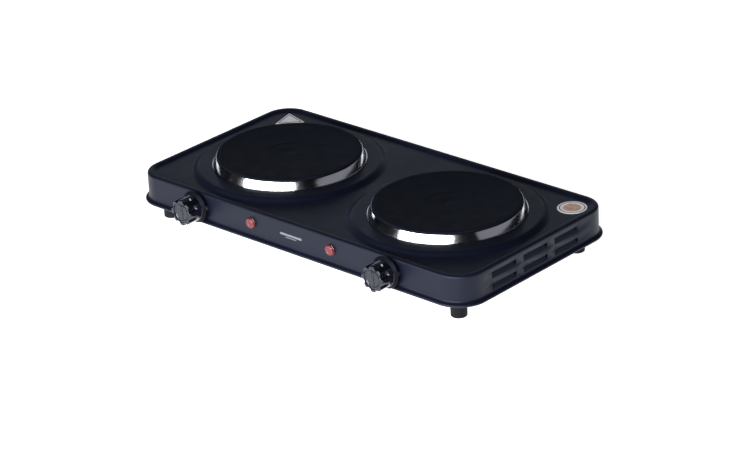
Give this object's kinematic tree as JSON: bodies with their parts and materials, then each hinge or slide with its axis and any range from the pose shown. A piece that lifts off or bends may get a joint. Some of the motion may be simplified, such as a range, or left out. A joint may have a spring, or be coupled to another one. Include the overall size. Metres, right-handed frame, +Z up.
{
  "type": "electric hot plate",
  "caption": "Table-top electric hot plate with round cast iron plates in chrome rings on a black pressed steel housing, with thermostat knobs, pilot lamps and rubber feet.",
  "frame": {"origin": "middle of the whole object's box, knobs included, on the surface that it stands on", "axes": "+X to the right along the row of plates, -Y out of the front wall with the knobs, +Z up"},
  "size_m": [0.4578, 0.2576, 0.0654],
  "materials": {
    "black_enamel": "satin black stoving enamel",
    "cast_iron": "turned face with matt black coating",
    "chrome": "polished plate",
    "zinc_steel": "zinc plated",
    "bakelite": "glossy moulded",
    "lamp_red": "clear moulded",
    "rubber": "matt moulded",
    "ceramic": "unglazed",
    "white_nylon": "moulded",
    "black_nylon": "moulded",
    "sleeve_brown": "woven sleeve",
    "sleeve_blue": "woven sleeve",
    "label": "coated film"
  },
  "bodies": {
    "housing": {"top_housing": "black_enamel", "base_plate": "zinc_steel", "earth_screw": "zinc_steel", "cord_gland": "black_nylon", "terminal_block": "white_nylon", "caution_label": "label", "round_label": "label", "foot_front_left": "rubber", "foot_screw_front_left": "zinc_steel", "base_screw_front_left": "zinc_steel", "foot_front_right": "rubber", "foot_screw_front_right": "zinc_steel", "base_screw_front_right": "zinc_steel", "foot_rear_left": "rubber", "foot_screw_rear_left": "zinc_steel", "base_screw_rear_left": "zinc_steel", "foot_rear_right": "rubber", "foot_screw_rear_right": "zinc_steel", "base_screw_rear_right": "zinc_steel", "hotplate_left": "cast_iron", "trim_ring_left": "chrome", "heating_element_left": "ceramic", "thermostat_left": "ceramic", "plate_pan_left": "zinc_steel", "clamp_strap_left": "zinc_steel", "centre_stud_left": "zinc_steel", "centre_nut_left": "zinc_steel", "thermostat_screw_left_1": "zinc_steel", "thermostat_screw_left_2": "zinc_steel", "lamp_lens_left": "lamp_red", "lamp_holder_left": "white_nylon", "live_lead_left": "sleeve_brown", "element_lead_left": "sleeve_brown", "neutral_lead_left": "sleeve_blue", "lamp_lead_left": "sleeve_blue", "hotplate_right": "cast_iron", "trim_ring_right": "chrome", "heating_element_right": "ceramic", "thermostat_right": "ceramic", "plate_pan_right": "zinc_steel", "clamp_strap_right": "zinc_steel", "centre_stud_right": "zinc_steel", "centre_nut_right": "zinc_steel", "thermostat_screw_right_1": "zinc_steel", "thermostat_screw_right_2": "zinc_steel", "lamp_lens_right": "lamp_red", "lamp_holder_right": "white_nylon", "live_lead_right": "sleeve_brown", "element_lead_right": "sleeve_brown", "neutral_lead_right": "sleeve_blue", "lamp_lead_right": "sleeve_blue"},
    "knob_left_turning": {"knob_left": "bakelite", "spindle_left": "zinc_steel", "knob_spring_left": "zinc_steel"},
    "knob_right_turning": {"knob_right": "bakelite", "spindle_right": "zinc_steel", "knob_spring_right": "zinc_steel"}
  },
  "joints": [
    {"name": "knob_left_turn", "type": "hinge", "parent": "housing", "child": "knob_left_turning", "pos_m": [-0.1345, -0.10405, 0.0371], "axis": [0, 1, 0], "range_deg": [0, 270]},
    {"name": "knob_right_turn", "type": "hinge", "parent": "housing", "child": "knob_right_turning", "pos_m": [0.1295, -0.10405, 0.0371], "axis": [0, 1, 0], "range_deg": [0, 270]}
  ]
}
